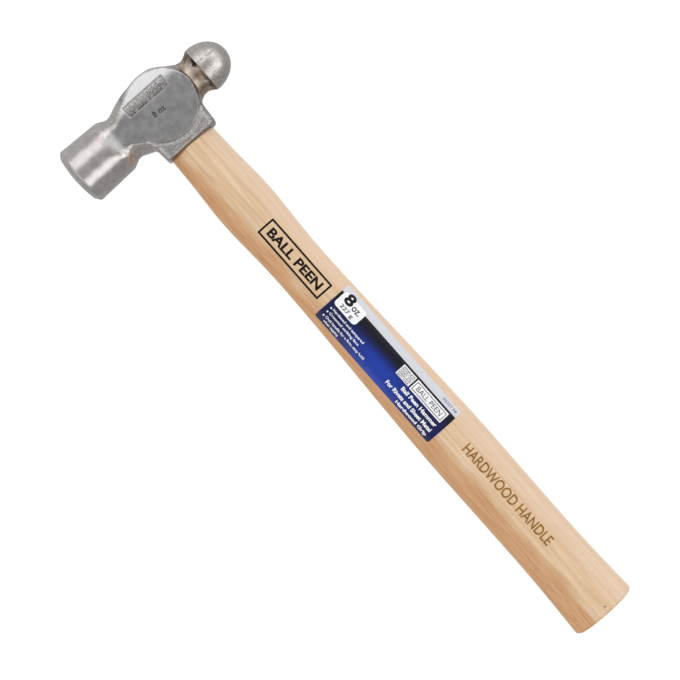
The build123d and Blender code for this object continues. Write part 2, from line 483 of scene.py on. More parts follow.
def ball_seam(points):
    """Depth of the seam that two passes of the belt left along the upper side of the ball.

    A bell curve across it, and a slow wave along it.
    """
    x, y, z = points.T
    off = x + 1.5 + 0.13 * (y - 24.0)
    seam = np.exp(-((off / 0.4) ** 2)) * (0.6 + 0.4 * np.sin(2.1 * y))
    on_ball = smooth_step(23.6, 25.0, y) * smooth_step(-34.6, -32.0, -y) * (z > 0)
    return SEAM_DEPTH * seam * on_ball


# ======== lettering ========


def words_in(text, box, bold=0.0):
    """Flat words along X with their tops towards +Y, filling a box: points and faces."""
    curve = bpy.data.curves.new("words", "FONT")
    curve.body = text
    curve.offset = bold
    curve.resolution_u = 6
    mesh = finished(new_piece("words", curve))
    points = coordinates(mesh)[:, :2]
    faces = [tuple(face.vertices) for face in mesh.polygons]
    low, high = points.min(axis=0), points.max(axis=0)
    low_x, high_x, low_y, high_y = box
    unit = (points - low) / (high - low)
    return unit * [high_x - low_x, high_y - low_y] + [low_x, low_y], faces


def round_box(box, corner):
    """Outline of a box (low x, high x, low y, high y) with quarter circles at its corners."""
    low_x, high_x, low_y, high_y = box
    steps = 5
    turn = np.linspace(0, math.pi / 2, steps)
    angle = np.concatenate([turn + quarter * math.pi / 2 for quarter in range(4)])
    centre_x = np.repeat([high_x - corner, low_x + corner, low_x + corner, high_x - corner], steps)
    centre_y = np.repeat([high_y - corner, high_y - corner, low_y + corner, low_y + corner], steps)
    return np.stack([centre_x + corner * np.cos(angle), centre_y + corner * np.sin(angle)], axis=1)


def filled_box(box, corner=0.15):
    """A filled box with rounded corners."""
    ring = round_box(box, corner)
    return ring, [tuple(range(len(ring)))]


def box_line(box, width, corner=0.6):
    """A line of some width just inside a rounded box."""
    low_x, high_x, low_y, high_y = box
    inner_box = (low_x + width, high_x - width, low_y + width, high_y - width)
    outer = round_box(box, corner)
    inner = round_box(inner_box, max(corner - width, 0.05))
    count = len(outer)
    here = np.arange(count)
    after = (here + 1) % count
    faces = np.stack([here, after, after + count, here + count], axis=1)
    return np.concatenate([outer, inner]), [tuple(face) for face in faces]


def joined(shapes):
    """Several (points, faces) pairs as one."""
    points, faces, first = [], [], 0
    for shape_points, shape_faces in shapes:
        points.append(shape_points)
        faces += [tuple(int(corner) + first for corner in face) for face in shape_faces]
        first += len(shape_points)
    return np.concatenate(points), faces


def sliced(shell, axis, places):
    """Cuts a bmesh across one axis at some places, keeping every part."""
    normal = [0.0, 0.0, 0.0]
    normal[axis] = 1.0
    for place in places:
        bmesh.ops.bisect_plane(
            shell,
            geom=shell.verts[:] + shell.edges[:] + shell.faces[:],
            plane_co=[place * part for part in normal],
            plane_no=normal,
        )


def stamp_solid(text, box, low, high):
    """Words as a closed solid between two heights above the cheek, reading along +Y.

    The letters' tops point to -X. For the last STAMP_DRAFT at either end the walls slope, as
    in a punch, and the solid is cut into strips so that it can follow the cheek.
    """
    curve = bpy.data.curves.new("stamp", "FONT")
    curve.body = text
    curve.resolution_u = 4
    curve.extrude = 0.5
    curve.bevel_depth = PUNCH_BEVEL
    curve.bevel_resolution = 0
    mesh = finished(new_piece("stamp", curve))
    points = coordinates(mesh)
    first, last = points.min(axis=0), points.max(axis=0)
    with edited(mesh) as solid:
        bmesh.ops.remove_doubles(solid, verts=solid.verts, dist=1e-5)
        sliced(solid, 1, np.linspace(first[1], last[1], 7)[1:-1] + 1e-4)
    points = coordinates(mesh)
    unit = (points[:, :2] - first[:2]) / (last[:2] - first[:2])
    low_x, high_x, low_y, high_y = box
    level = np.interp(
        points[:, 2],
        [first[2], first[2] + PUNCH_BEVEL, last[2] - PUNCH_BEVEL, last[2]],
        [low, low + STAMP_DRAFT, high - STAMP_DRAFT, high],
    )
    x = high_x - unit[:, 1] * (high_x - low_x)
    y = low_y + unit[:, 0] * (high_y - low_y)
    z = level + cheek_height(x, y, -1.0)
    set_coordinates(mesh, to_frame(np.stack([x, y, z], axis=1)))
    with edited(mesh) as solid:
        bmesh.ops.recalc_face_normals(solid, faces=solid.faces)
    mesh.materials.clear()
    return mesh


# ======== handle shape ========


def half_width(x):
    """Half width of the handle's oval at x: the cubic spline through its stations."""
    return curve_through(tuple(zip(STATIONS_X, STATIONS_HALF_Y)), x)


def handle_point(x, angle, lift=0.0):
    """Points of the handle's skin at x and at an angle round its oval, from +Y towards +Z.

    The oval's half axes follow half_width(), and FLATNESS of it; sanding leaves the skin
    wavy by up to SANDING_WAVE.
    """
    wide = half_width(x)
    wavy = SANDING_WAVE * np.sin(x / 9.0 + 2.3 * np.sin(angle)) * np.sin(x / 23.0 + 2 * angle)
    side = (wide + wavy + lift) * np.cos(angle)
    up = (FLATNESS * wide + wavy + lift) * np.sin(angle)
    return np.stack([x + 0 * angle, side, up], axis=-1)


def on_handle(flat, lift):
    """Flat points (x, y) seen from above, laid on the handle's upper side."""
    x, y = flat[:, 0], flat[:, 1]
    angle = np.arccos(np.clip(y / (half_width(x) + lift), -1, 1))
    return handle_point(x, angle, lift)


def wedge_plate(top, tip, depth, width, turn):
    """A wedge as eight corners: thick beyond the crown, thin at its tip, turned about X."""
    start = CROWN_X - 2.0
    end = CROWN_X + depth
    thick = top + 2.0 * (top - tip) / depth
    corners = np.array(
        [
            (x, side * width / 2, face * size / 2)
            for x, size in ((start, thick), (end, tip))
            for side in (-1, 1)
            for face in (-1, 1)
        ]
    )
    spin = np.array(Matrix.Rotation(math.radians(turn), 3, "X"))
    faces = [(0, 1, 3, 2), (4, 6, 7, 5), (0, 4, 5, 1), (2, 3, 7, 6), (0, 2, 6, 4), (1, 5, 7, 3)]
    return mesh_of("plate", corners @ spin.T, faces)


def crown_at(y, sink):
    """x of the drum-shaped crown at y, sunk a little into the eye."""
    return DISC_X - np.sqrt((DISC_RADIUS - sink) ** 2 - (y - DISC_Y) ** 2)


def handle_mesh():
    """The whole handle as one closed tube of rings.

    Rings grow from the middle of the crown end, run down the hourglass tenon, step out over
    the shoulder, follow the ovals of the shaft, turn the butt's rounded rim and close on the
    middle of the butt.
    """
    columns = 144
    angle = np.linspace(0, 2 * math.pi, columns, endpoint=False)
    rings = []
    along, across = eye_halves(CROWN_X)
    for share in np.linspace(0.02, 1, 12) ** 0.8:
        y = share * (along - WOOD_GAP) * np.cos(angle)
        z = share * (across - WOOD_GAP) * np.sin(angle)
        rings.append(np.stack([crown_at(y, CROWN_SINK), y, z], axis=1))
    for x in np.linspace(CROWN_X + 6.0, SHOULDER_X, 20):
        along, across = eye_halves(x)
        y, z = (along - WOOD_GAP) * np.cos(angle), (across - WOOD_GAP) * np.sin(angle)
        rings.append(np.stack([np.full(columns, x), y, z], axis=1))
    for turn in np.linspace(0, math.pi / 2, 5):
        ring = handle_point(SHOULDER_X, angle, -SHOULDER_ROUND * (1 - math.sin(turn)))
        ring[:, 0] = SHOULDER_X + SHOULDER_ROUND * (1 - math.cos(turn))
        rings.append(ring)
    for x in np.linspace(SHOULDER_X + 2 * SHOULDER_ROUND, BUTT_X - BUTT_ROUND, 330):
        rings.append(handle_point(x, angle))
    for turn in np.linspace(0, math.pi / 2, 9)[1:]:
        ring = handle_point(BUTT_X, angle, -BUTT_ROUND * (1 - math.cos(turn)))
        ring[:, 0] = BUTT_X - BUTT_ROUND * (1 - math.sin(turn))
        rings.append(ring)
    rim = rings[-1]
    rings += [rim * [1, share, share] for share in np.linspace(0.9, 0.02, 10)]
    last = (len(rings) - 1) * columns
    faces = [tuple(face)[::-1] for face in grid_faces(len(rings), columns)]
    faces += [tuple(range(columns)), tuple(range(last, last + columns))[::-1]]
    mesh = mesh_of("handle_skin", np.concatenate(rings), faces)
    _, tip, depth, width, turn = WOOD_WEDGE
    kerf = (tip, tip, depth + KERF_EXTRA, width, turn)
    for plate in (kerf, WOOD_WEDGE, STEEL_WEDGE):
        mesh = cut(mesh, wedge_plate(*plate))
    return mesh


def label_mesh():
    """The label's film: a closed sheet that follows the handle, with rounded corners.

    Rows run along X and columns along Y; near its long edges a row is shortened by the
    quarter circle of the corner.
    """
    low_x, high_x = LABEL_X
    low_y, high_y = LABEL_Y
    edge = LABEL_CORNER * (1 - np.cos(np.linspace(0, math.pi / 2, 6)))
    inner = np.arange(low_y + 1.3, high_y - 1.2, 0.4)
    y = np.concatenate([low_y + edge, inner, high_y - edge[::-1]])
    short = np.clip(LABEL_CORNER - np.minimum(y - low_y, high_y - y), 0, LABEL_CORNER)
    inset = LABEL_CORNER - np.sqrt(LABEL_CORNER**2 - short**2)
    share = np.linspace(0, 1, 120)[:, None]
    x = (low_x + inset) + share * (high_x - low_x - 2 * inset)
    flat = np.stack([x, np.broadcast_to(y, x.shape)], axis=-1).reshape(-1, 2)
    rows, columns = x.shape
    top, under = on_handle(flat, LABEL_LIFT), on_handle(flat, LABEL_BED)
    cell = (np.arange(rows - 1)[:, None] * columns + np.arange(columns - 1)[None, :]).ravel()
    upper = np.stack([cell, cell + columns, cell + columns + 1, cell + 1], axis=1)
    lower = upper[:, ::-1] + rows * columns
    border = np.concatenate(
        [
            np.arange(columns),
            np.arange(1, rows) * columns + columns - 1,
            (rows - 1) * columns + np.arange(columns - 2, -1, -1),
            np.arange(rows - 2, 0, -1) * columns,
        ]
    )
    after = np.roll(border, -1)
    rim = np.stack([border, after, after + rows * columns, border + rows * columns], axis=1)
    faces = [tuple(face) for face in np.concatenate([upper, lower, rim])]
    return mesh_of("label_film", np.concatenate([top, under]), faces)


def ink_mesh(name, shapes, lift):
    """Flat shapes cut into short strips, laid on the handle and given an ink's thickness."""
    points, faces = joined(shapes)
    mesh = bpy.data.meshes.new(name)
    mesh.from_pydata(np.column_stack([points, np.zeros(len(points))]).tolist(), [], faces)
    low, high = points.min(axis=0), points.max(axis=0)
    with edited(mesh) as sheet:
        bmesh.ops.remove_doubles(sheet, verts=sheet.verts, dist=1e-5)
        for axis, pitch in enumerate(STRIP_PITCHES):
            sliced(sheet, axis, np.arange(low[axis] + 0.01, high[axis], pitch))
    flat = coordinates(mesh)[:, :2]
    if mesh.polygons[0].normal.z < 0:
        mesh.flip_normals()
    set_coordinates(mesh, to_frame(on_handle(flat, lift)))
    holder = new_piece(name, mesh)
    skin = holder.modifiers.new("skin", "SOLIDIFY")
    skin.thickness = INK_THICKNESS / 1000
    skin.offset = 1
    return finished(holder)


# ======== materials ========

EASED = {"interpolation_type": "SMOOTHSTEP"}
COLOURS = {"data_type": "RGBA"}
CREVICE_SHADE_SPOT = (1.6, 26.3, 12.6)
STEP_RADII = (16.3, 15.8)
GLOW_X = 138.0


def linear(hex_colour):
    """An sRGB hex colour as linear red, green, blue and a full alpha."""
    parts = [int(hex_colour[i : i + 2], 16) / 255 for i in (0, 2, 4)]
    return [c / 12.92 if c <= 0.04045 else ((c + 0.055) / 1.055) ** 2.4 for c in parts] + [1]


def plug(node, inputs):
    """Sets a node's inputs to values, or links them to a socket or to a node's first output."""
    for key, value in inputs.items():
        if isinstance(value, bpy.types.Node):
            value = value.outputs[0]
        if isinstance(value, bpy.types.NodeSocket):
            node.id_data.links.new(value, node.inputs[key])
        else:
            node.inputs[key].default_value = value


def add_node(tree, kind, inputs=None, stops=None, **settings):
    """Adds one node with its settings and links, and with the colour stops of a ramp."""
    node = tree.nodes.new("ShaderNode" + kind)
    for key, value in settings.items():
        setattr(node, key, value)
    plug(node, inputs or {})
    if stops:
        ramp = node.color_ramp.elements
        while len(ramp) < len(stops):
            ramp.new(0.5)
        for element, (place, colour) in zip(ramp, stops):
            element.position = place
            element.color = linear(colour)
    return node


def new_material(name):
    """A material, its Principled shader, what adds nodes to it, and its millimetre places."""
    material = bpy.data.materials.new(name)
    material.use_nodes = True
    material.node_tree.nodes.clear()
    add = partial(add_node, material.node_tree)
    shader = add("BsdfPrincipled")
    add("OutputMaterial", {"Surface": shader})
    place = add("TexCoord").outputs["Object"]
    to_mm = {"Vector": place, "Scale": (1000, 1000, 1000), "Location": tuple(-ORIGIN)}
    return material, shader, add, add("Mapping", to_mm).outputs[0]


def stretched(add, mm, scale, turn=(0, 0, 0)):
    """Millimetre places scaled by pattern repeats per millimetre, after a turn."""
    spun = add("Mapping", {"Vector": mm, "Rotation": turn})
    return add("Mapping", {"Vector": spun, "Scale": scale}).outputs[0]


def turned_steel():
    """Turned and linished steel: two clean bright bands along it, broken by fine rings.

    Turning marks are about 0.1 mm apart; they are drawn 0.4 mm apart, so that they show.
    """
    material, shader, add, mm = new_material("turned_steel")
    rings = add("TexNoise", {"Vector": stretched(add, mm, (0.05, 2.6, 0.05)), "Detail": 3.0})
    cloud = add("TexNoise", {"Vector": mm, "Scale": 0.3, "Detail": 5.0, "Roughness": 0.6})
    tint = add("ValToRGB", {"Fac": cloud}, stops=[(0.3, "bcb6b4"), (0.7, "d2cdcc")])
    rough = add(
        "MapRange",
        {"Value": cloud, "From Min": 0.3, "From Max": 0.7, "To Min": 0.19, "To Max": 0.26},
    )
    bump = add("Bump", {"Height": rings, "Strength": 0.12, "Distance": 0.0002})
    plug(shader, {"Base Color": tint, "Roughness": rough, "Normal": bump, "Metallic": 1.0})
    return material


def ground_steel():
    """Belt-ground steel: short scratches over a cloudy satin, with a painted highlight by the
    crown.

    The scratches of a coarse belt are about 0.25 mm apart; they are drawn 0.45 mm apart. A painted
    highlight lightens the cheek on its roll by the crown, and a little where it runs out towards
    the bell.
    """
    material, shader, add, mm = new_material("ground_steel")
    scratches = stretched(add, mm, (2.2, 0.15, 1.0), (0, 0, 0.35))
    lines = add("TexNoise", {"Vector": scratches, "Detail": 4.0})
    cloud = add("TexNoise", {"Vector": mm, "Scale": 0.24, "Detail": 6.0, "Roughness": 0.62})
    greys = [(0.3, "918f90"), (0.5, "a09e9f"), (0.7, "b1b0b0")]
    tint = add("ValToRGB", {"Fac": cloud}, stops=greys)
    split = add("SeparateXYZ", {0: mm})
    height = add("Math", {0: split.outputs["Z"]}, operation="ABSOLUTE")
    on_top = add("MapRange", {"Value": height, "From Min": 5.8, "From Max": 6.8})
    # Painted highlight: shares of light grey on the crown roll and where the cheek runs out
    crown_highlight, bell_end_highlight = (
        add(
            "MapRange",
            {"Value": split.outputs[axis], "From Min": start, "From Max": end, "To Max": most},
            **EASED,
        )
        for axis, start, end, most in (("X", -4.4, -9.0, 0.9), ("Y", -20.0, -24.5, 0.3))
    )
    crown_and_bell_end_highlight = add("Math", {0: crown_highlight, 1: bell_end_highlight}, operation="MAXIMUM")
    bright = add("Math", {0: crown_and_bell_end_highlight, 1: on_top}, operation="MULTIPLY")
    # The painted highlight mixes the cheek's grey towards a light grey.
    whole = add("Mix", {0: bright, 6: tint, 7: linear("d6d5d5")}, **COLOURS).outputs[2]
    rough = add(
        "MapRange",
        {"Value": lines, "From Min": 0.3, "From Max": 0.7, "To Min": 0.25, "To Max": 0.37},
    )
    bump = add("Bump", {"Height": lines, "Strength": 0.16, "Distance": 0.0003})
    plug(shader, {"Base Color": whole, "Roughness": rough, "Normal": bump, "Metallic": 1.0})
    return material


def forged_steel():
    """Shot-blasted forging skin: a grainy grey that glints, brown scale by the ball.

    The grain is that of shot dents about 0.6 mm across. By the ball the skin turns brown with
    scale; painted shade darkens it under the collar, in a spot in the crevice where the collar
    meets the neck, and in a line at the foot of the disc.
    """
    material, shader, add, mm = new_material("forged_steel")
    grain = add("TexNoise", {"Vector": mm, "Scale": 1.7, "Detail": 4.0, "Roughness": 0.6})
    cloud = add("TexNoise", {"Vector": mm, "Scale": 0.22, "Detail": 3.0})
    split = add("SeparateXYZ", {0: mm})
    greys = [(0.3, "878280"), (0.5, "ada9a7"), (0.7, "c9c6c4")]
    tint = add("ValToRGB", {"Fac": grain}, stops=greys)
    to_ball = {"Value": split.outputs["Y"], "From Min": 13.0, "From Max": 17.0}
    near_ball = add("MapRange", to_ball, **EASED)
    spots = add("MapRange", {"Value": cloud, "From Min": 0.42, "From Max": 0.7})
    brown = add("Math", {0: spots, 1: near_ball}, operation="MULTIPLY")

    drift = {0: cloud.outputs["Color"], 1: (9.0, 9.0, 9.0)}
    unevenness = add("VectorMath", drift, operation="MULTIPLY")
    wandering = add("VectorMath", {0: mm, 1: unevenness}, operation="ADD")
    # Painted shade: a near-black spot in the crevice where the collar meets the neck.
    from_crevice_shade = add("VectorMath", {0: wandering, 1: CREVICE_SHADE_SPOT}, operation="DISTANCE")
    crevice_shade_span = {"Value": from_crevice_shade.outputs["Value"], "From Min": 3.0, "From Max": 1.4}
    crevice_shade = add("MapRange", crevice_shade_span, **EASED)
    wandered = add("SeparateXYZ", {0: wandering})
    lean = {0: split.outputs["X"], 1: -0.12, 2: wandered.outputs["Y"]}
    leaning = add("Math", lean, operation="MULTIPLY_ADD")
    # Painted shade under the ball's collar: a dark brown band over the scale, leaning with x.
    collar_span = {"Value": leaning, "From Min": 24.4, "From Max": 26.2, "To Max": 0.8}
    collar = add("MapRange", collar_span, **EASED)

    # Painted shadow: a dark line along the foot of the disc, where the neck steps down.
    flat = add("VectorMath", {0: mm, 1: (1.0, 1.0, 0.0)}, operation="MULTIPLY")
    disc = (DISC_X, DISC_Y, 0.0)
    from_disc = add("VectorMath", {0: flat, 1: disc}, operation="DISTANCE").outputs["Value"]
    outer, inner = STEP_RADII
    step_span = {"Value": from_disc, "From Min": outer, "From Max": inner, "To Max": 0.8}
    step_shadow = add("MapRange", step_span)
    step_shadow_by_ball = add("Math", {0: step_shadow, 1: near_ball}, operation="MULTIPLY")
    # Painted shade: the darker of the crevice spot and the step shadow.
    dark = add("Math", {0: crevice_shade, 1: step_shadow_by_ball}, operation="MAXIMUM")

    whole = tint
    # Brown scale by the ball, then painted shade under the collar and in the crevice and step.
    layers = ((near_ball, "c9bbae"), (brown, "86705f"), (collar, "5e4f44"), (dark, "241f1c"))
    for share, colour in layers:
        whole = add("Mix", {0: share, 6: whole, 7: linear(colour)}, **COLOURS).outputs[2]
    bump = add("Bump", {"Height": grain, "Strength": 0.35, "Distance": 0.0003})
    plug(shader, {"Base Color": whole, "Normal": bump, "Metallic": 1.0, "Roughness": 0.4})
    return material


def slack_belt_steel():
    """The ball and the bell's neck, ground on a slack belt: soft bands, fine slanting lines.

    The lines of a worn belt are about 0.2 mm apart; they are drawn 0.6 mm apart.
    """
    material, shader, add, mm = new_material("slack_belt_steel")
    facets = add("TexNoise", {"Vector": stretched(add, mm, (0.3, 0.12, 0.3)), "Detail": 3.0})
    slanting = stretched(add, mm, (1.6, 0.25, 1.6), (0, 0, -0.5))
    lines = add("TexNoise", {"Vector": slanting, "Detail": 3.0})
    tint = add("ValToRGB", {"Fac": facets}, stops=[(0.35, "b3aca8"), (0.65, "d3cfcd")])
    bump = add("Bump", {"Height": lines, "Strength": 0.12, "Distance": 0.0003})
    plug(shader, {"Base Color": tint, "Normal": bump, "Metallic": 1.0, "Roughness": 0.33})
    return material


def oxide_in_stamps():
    """Dark oxide that the belt couldn't reach, in the bottom of the stamped marks."""
    material, shader, add, mm = new_material("oxide_in_stamps")
    grain = add("TexNoise", {"Vector": mm, "Scale": 1.2, "Detail": 4.0})
    tint = add("ValToRGB", {"Fac": grain}, stops=[(0.35, "5b5654"), (0.65, "8b8683")])
    plug(shader, {"Base Color": tint, "Metallic": 1.0, "Roughness": 0.45})
    return material


def lacquered_hickory():
    """Hickory under clear lacquer.

    Pale sapwood in soft long streaks with faint growth rings, a painted sheen that lightens the
    side towards the ball, a warm band of veined heartwood along the striking side that widens
    towards the butt, short brown pores about 0.3 mm wide, one pin knot, and a clear coat with a
    soft gloss.
    """
    material, shader, add, mm = new_material("lacquered_hickory")
    warp, veins, fibre, pore = (
        add("TexNoise", {"Vector": stretched(add, mm, scale), "Detail": detail})
        for scale, detail in (
            ((0.014, 0.05, 0.05), 3.0),
            ((0.012, 0.5, 0.5), 4.0),
            ((0.05, 2.0, 2.0), 4.0),
            ((0.12, 3.4, 3.4), 2.0),
        )
    )
    long = stretched(add, mm, (0.007, 0.17, 0.17))
    streaks = add("TexNoise", {"Vector": long, "Detail": 3.0, "Distortion": 0.3})
    split = add("SeparateXYZ", {0: mm})
    creams = [(0.3, "dcb68b"), (0.45, "e2bf97"), (0.58, "e8c9a6"), (0.72, "ebd0b2")]
    sapwood = add("ValToRGB", {"Fac": streaks}, stops=creams)
    browns = [(0.35, "bb7f4c"), (0.5, "cd9660"), (0.68, "dcac7c")]
    heartwood = add("ValToRGB", {"Fac": veins}, stops=browns)

    tilted = stretched(add, mm, (0.0035, 0.075, 0.16), (0.35, 0, 0))
    bent = add("Mapping", {"Vector": tilted, "Location": (3.0, 1.0, 2.0)})
    rings = add(
        "TexWave",
        {"Vector": bent, "Scale": 1.0, "Distortion": 6.0, "Detail": 3.0, "Detail Scale": 0.5},
        bands_direction="Y",
        wave_profile="SIN",
    )
    ring_span = {"Value": rings.outputs["Fac"], "From Min": 0.6, "To Min": 1.0, "To Max": 0.93}
    ring_tone = add("MapRange", ring_span)
    fibre_tone = add(
        "MapRange",
        {"Value": fibre, "From Min": 0.3, "From Max": 0.7, "To Min": 1.02, "To Max": 0.97},
    )
    tone = add("Math", {0: ring_tone, 1: fibre_tone}, operation="MULTIPLY")
    toned = add("Mix", {0: 1.0, 6: sapwood, 7: tone}, blend_type="MULTIPLY", **COLOURS)

    # Painted sheen: the side towards the ball is lightened towards a pale pink.
    sheen_span = {"Value": split.outputs["Y"], "From Min": 3.0, "From Max": 9.0, "To Max": 0.6}
    ball_side_sheen = add("MapRange", sheen_span, **EASED)
    widening = add(
        "MapRange",
        {
            "Value": split.outputs["X"],
            "From Min": 60.0,
            "From Max": 190.0,
            "To Min": -0.8,
            "To Max": -1.5,
        },
        **EASED,
    )
    sway = {0: warp, 1: 8.0, 2: split.outputs["Y"]}
    swayed = add("Math", sway, operation="MULTIPLY_ADD")
    heart_y = add("Math", {0: swayed, 1: widening}, operation="ADD")
    heart_span = {"Value": heart_y, "From Min": 0.2, "From Max": -5.2, "To Max": 0.9}
    heart = add("MapRange", heart_span, **EASED)
    pore_span = {"Value": pore, "From Min": 0.62, "From Max": 0.76, "To Max": 0.3}
    pores = add("MapRange", pore_span)
    from_knot = add("VectorMath", {0: mm, 1: PIN_KNOT}, operation="DISTANCE").outputs["Value"]
    knot_span = {"Value": from_knot, "From Min": 0.9, "From Max": 0.35, "To Max": 0.85}
    knot = add("MapRange", knot_span)

    whole = toned.outputs[2]
    # The painted sheen first, then heartwood, pores and the knot over it.
    for share, colour in (
        (ball_side_sheen, linear("dfc3ab")),
        (heart, heartwood),
        (pores, linear("a87a50")),
        (knot, linear("6b4426")),
    ):
        whole = add("Mix", {0: share, 6: whole, 7: colour}, **COLOURS).outputs[2]
    bump = add("Bump", {"Height": fibre, "Strength": 0.1, "Distance": 0.0002})
    plug(shader, {"Base Color": whole, "Normal": bump, "Roughness": 0.42})
    plug(shader, {"Coat Weight": 0.4, "Coat Roughness": 0.2})
    return material


def bare_wedge_wood():
    """Sanded end of a hardwood wedge: dull end grain in fine lines, darker than the handle."""
    material, shader, add, mm = new_material("bare_wedge_wood")
    grain = add("TexNoise", {"Vector": stretched(add, mm, (0.3, 0.5, 1.6)), "Detail": 4.0})
    tint = add("ValToRGB", {"Fac": grain}, stops=[(0.35, "a27a4f"), (0.65, "bd9262")])
    bump = add("Bump", {"Height": grain, "Strength": 0.3, "Distance": 0.0003})
    plug(shader, {"Base Color": tint, "Normal": bump, "Roughness": 0.7})
    return material


def sanded_wedge_steel():
    """Mild steel wedge, scuffed in fine lines when the crown was sanded flush."""
    material, shader, add, mm = new_material("sanded_wedge_steel")
    lines = add("TexNoise", {"Vector": stretched(add, mm, (1.0, 0.3, 4.0)), "Detail": 3.0})
    tint = add("ValToRGB", {"Fac": lines}, stops=[(0.35, "77716b"), (0.65, "a8a39d")])
    plug(shader, {"Base Color": tint, "Metallic": 1.0, "Roughness": 0.45})
    return material


def printed_film():
    """Gloss label film: royal blue glowing in the middle, near black and silver by the ball."""
    material, shader, add, mm = new_material("printed_film")
    split = add("SeparateXYZ", {0: mm})
    rise, fade, across, dark = (
        add(
            "MapRange",
            {"Value": split.outputs[axis], "From Min": start, "From Max": end},
            **EASED,
        )
        for axis, start, end in (
            ("X", GLOW_X - 26.0, GLOW_X),
            ("X", GLOW_X + 30.0, GLOW_X + 4.0),
            ("Y", 4.5, -3.0),
            ("Y", -1.5, 4.5),
        )
    )
    middle = add("Math", {0: rise, 1: fade}, operation="MULTIPLY")
    glow = add("Math", {0: middle, 1: across}, operation="MULTIPLY")
    beyond = {0: split.outputs["Y"], 1: BLUE_EDGE_Y}
    silver = add("Math", beyond, operation="GREATER_THAN")
    whole = linear("0c1450")
    for share, colour in ((glow, "1a3ca6"), (dark, "090a1c"), (silver, "d3d5dc")):
        whole = add("Mix", {0: share, 6: whole, 7: linear(colour)}, **COLOURS).outputs[2]
    ripple = add("TexNoise", {"Vector": mm, "Scale": 0.12, "Detail": 2.0})
    bump = add("Bump", {"Height": ripple, "Strength": 0.1, "Distance": 0.0005})
    plug(shader, {"Base Color": whole, "Normal": bump, "Roughness": 0.28})
    gloss = {"Specular IOR Level": 0.3, "Coat Weight": 0.15, "Coat Roughness": 0.12}
    plug(shader, gloss)
    return material


def ink(name, first, second, grain):
    """Printing ink: a thin, slightly uneven layer whose tone wanders with the film or wood."""
    material, shader, add, mm = new_material(name)
    wander = add("TexNoise", {"Vector": stretched(add, mm, grain), "Detail": 4.0})
    tint = add("ValToRGB", {"Fac": wander}, stops=[(0.35, first), (0.65, second)])
    plug(shader, {"Base Color": tint, "Roughness": 0.5, "Specular IOR Level": 0.2})
    return material


def pale_floor():
    """Plain matt sweep, lit through from behind to a clean, even near-white."""
    material, shader, add, mm = new_material("pale_floor")
    mottle = add("TexNoise", {"Vector": mm, "Scale": 0.01, "Detail": 3.0})
    tint = add("ValToRGB", {"Fac": mottle}, stops=[(0.3, "b4b4b4"), (0.7, "b9b9b9")])
    plug(shader, {"Base Color": tint, "Roughness": 0.9})
    plug(shader, {"Emission Color": (1, 1, 1, 1), "Emission Strength": FLOOR_GLOW})
    return material


# ======== pieces ========


def forging_mesh():
    """The forging: a fine even net over the CAD head, settled onto head_field().

    The rough skin is dented by a few hundredths of a millimetre. The cheeks keep a very
    shallow waviness, and the ball a somewhat stronger one.
    """
    net = new_piece("net", merged_copy("hammer_head"))
    step = net.modifiers.new("net", "REMESH")
    step.mode = "VOXEL"
    step.voxel_size = HEAD_VOXEL / 1000
    mesh = finished(net)
    points, normals = settle(from_frame(coordinates(mesh)), head_field)
    dents = lumps(points, *COARSE_DENTS) + lumps(points, *FINE_DENTS)
    ball = lumps(points * [1, 0.4, 1], *BALL_WAVES) * (points[:, 1] > BALL_SHOULDER_Y + 0.4)
    cheeks = lumps(points, *CHEEK_WAVES) * ground_share(points)
    lift = forged_share(points) * dents + cheeks + ball + grinding_ridge(points) - ball_seam(points)
    set_coordinates(mesh, to_frame(points + normals * lift[:, None]))
    return mesh


def crisp_inside(mesh, boxes, degrees):
    """Marks the folds of the upper side that lie inside some boxes as sharp."""
    x, y, z = from_frame(coordinates(mesh)).T
    near = np.zeros(len(x), bool)
    for low_x, high_x, low_y, high_y in boxes:
        near |= (x > low_x) & (x < high_x) & (y > low_y) & (y < high_y) & (z > UPPER_SIDE_Z)
    with edited(mesh) as shell:
        shell.verts.ensure_lookup_table()
        for index in np.nonzero(near)[0]:
            for edge in shell.verts[index].link_edges:
                if edge.calc_face_angle(0.0) > math.radians(degrees):
                    edge.smooth = False


def finish_slots(points):
    """The slot of the finish at each point of the head.

    It goes by the place along the head, then by the grinding, then by the depth in a stamp.
    """
    x, y, z = points.T
    slot = np.full(len(points), TURNED_SLOT, np.int32)
    slot[y > BELL_NECK_Y] = BELT_SLOT
    slot[(y > DRUM_START_Y) & (y < BALL_SHOULDER_Y)] = FORGED_SLOT
    slot[ground_share(points) > 0.5] = GROUND_SLOT
    slot[(past_disc(x, y) < 0.4) & (x < CROWN_ROLL_X) & (slot == FORGED_SLOT)] = GROUND_SLOT
    sunk = cheek_height(x, y, -1.0) - z
    for box, least, finish in ((CARTOUCHE, 0.17, FORGED_SLOT), (WEIGHT_STAMP, 0.07, OXIDE_SLOT)):
        slot[(in_box(x, y, box, 0.05) > 0.5) & (sunk > least) & (sunk < 1)] = finish
    return slot


